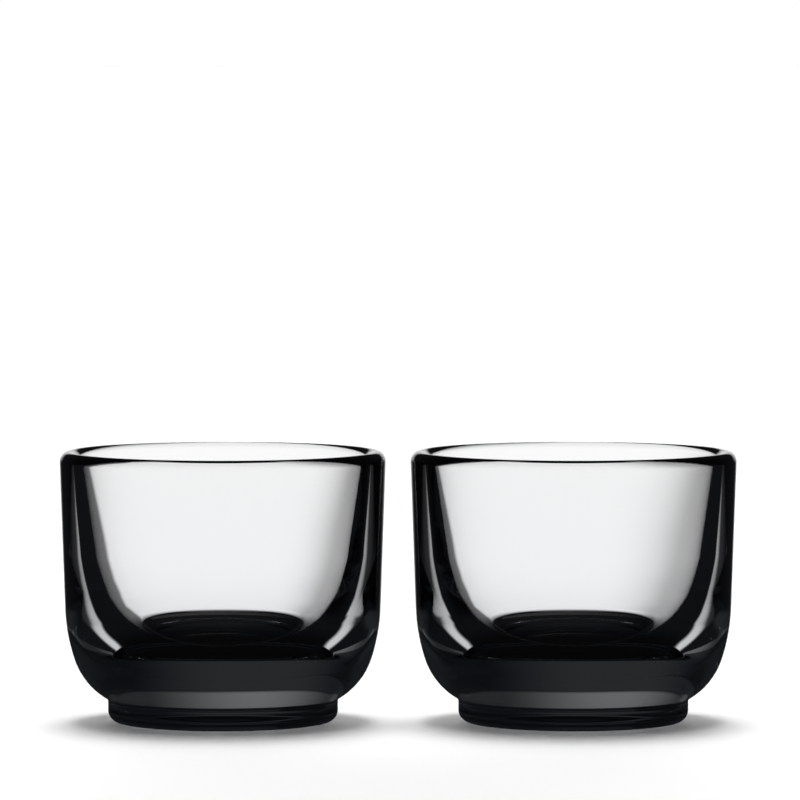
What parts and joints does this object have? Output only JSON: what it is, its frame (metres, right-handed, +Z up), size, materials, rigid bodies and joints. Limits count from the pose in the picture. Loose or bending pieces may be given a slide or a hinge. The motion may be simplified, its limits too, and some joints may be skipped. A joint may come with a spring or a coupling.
{
  "type": "espresso glass",
  "caption": "Thick-walled clear espresso glass with rounded lip, heavy base and narrower round foot, with a matching second glass standing beside it.",
  "frame": {"origin": "on the table, midway between the two glasses' axes", "axes": "+X from the left glass to the right glass as the viewer sees them, +Y away from the viewer, +Z up"},
  "size_m": [0.1454, 0.07, 0.0583],
  "materials": {
    "clear_glass": "clear pressed soda-lime glass, polished inside and out"
  },
  "bodies": {
    "left_glass_body": {"left_glass": "clear_glass"},
    "right_glass_body": {"right_glass": "clear_glass"}
  },
  "joints": [
    {"name": "right_glass_lift", "type": "slide", "parent": "left_glass_body", "child": "right_glass_body", "axis": [0, 0, 1], "range_m": [0, 0.07]}
  ]
}
